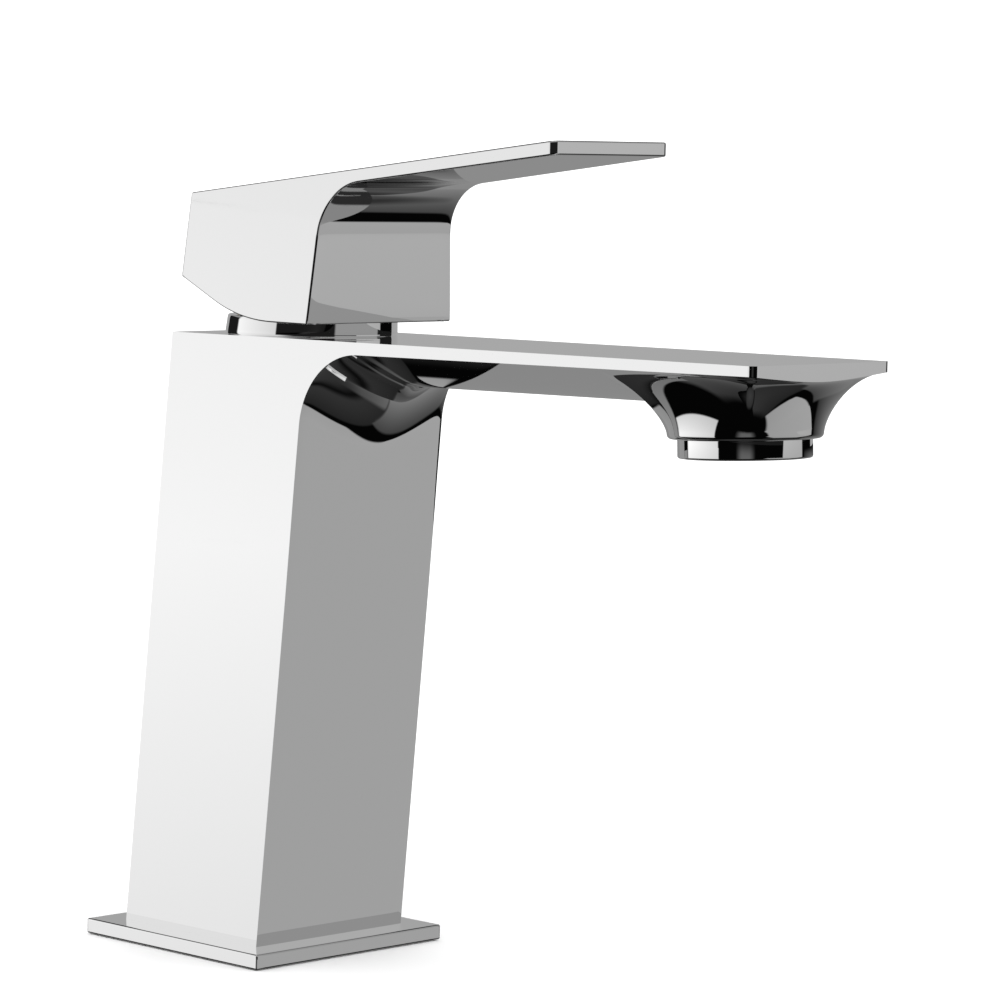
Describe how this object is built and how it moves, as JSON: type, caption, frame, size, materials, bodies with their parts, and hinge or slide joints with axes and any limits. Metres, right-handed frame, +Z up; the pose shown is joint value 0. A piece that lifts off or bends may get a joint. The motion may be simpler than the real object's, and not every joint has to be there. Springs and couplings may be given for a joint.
{
  "type": "bathroom mixer faucet",
  "caption": "Chromed basin mixer with a square leaning column, a flat forward spout with a round outlet, and a lever that lifts for flow and turns for temperature.",
  "frame": {"origin": "centre of the base plate's underside, in the plane of the basin deck", "axes": "+Z up from the deck, -Y forward along the spout, X across; the faucet is symmetric about X = 0 apart from its hot and cold marks"},
  "size_m": [0.055, 0.1827, 0.1762],
  "materials": {
    "chrome_body": "polished",
    "chrome_lever": "polished",
    "chrome_trim": "polished",
    "rubber": "matt",
    "brass": "machined",
    "steel": "machined",
    "cartridge_plastic": "moulded",
    "aerator_plastic": "moulded",
    "ceramic": "lapped",
    "index_cap": "glossy",
    "index_red": "glossy",
    "index_blue": "glossy"
  },
  "bodies": {
    "faucet": {"base_plate": "chrome_trim", "base_gasket": "rubber", "column": "chrome_body", "body": "chrome_body", "spout": "chrome_body", "inlet_hot": "brass", "inlet_cold": "brass", "stud_bracket": "brass", "neck_ring": "chrome_trim", "ring_oring": "rubber", "retaining_nut": "brass", "cartridge_housing": "cartridge_plastic", "housing_oring": "rubber", "cartridge_base": "cartridge_plastic", "port_seals": "rubber", "disc_seals": "rubber", "fixed_disc": "ceramic", "aerator_housing": "chrome_trim", "aerator_insert": "aerator_plastic", "aerator_screen": "steel", "aerator_gasket": "rubber"},
    "rotor": {"stem_rotor": "cartridge_plastic", "pivot_pin": "steel"},
    "lever": {"cartridge_stem": "steel", "lever_handle": "chrome_lever", "grub_screw": "steel", "index_plug": "index_cap", "index_hot": "index_red", "index_cold": "index_blue"},
    "slider": {"moving_disc": "ceramic", "disc_carrier": "cartridge_plastic"}
  },
  "joints": [
    {"name": "lever_turn", "type": "hinge", "parent": "faucet", "child": "rotor", "pos_m": [0, -0.01237, 0.13924], "axis": [0, -0.0906, 0.9959], "range_deg": [-50, 50]},
    {"name": "lever_lift", "type": "hinge", "parent": "rotor", "child": "lever", "pos_m": [0, -0.01237, 0.13924], "axis": [-1, 0, 0], "range_deg": [0, 18]},
    {"name": "disc_slide", "type": "slide", "parent": "rotor", "child": "slider", "axis": [0, -0.9959, -0.0906], "range_m": [0, 0.00697]}
  ],
  "couplings": [
    {"joint": "disc_slide", "follows": "lever_lift", "m_per_rad": 0.0222}
  ]
}
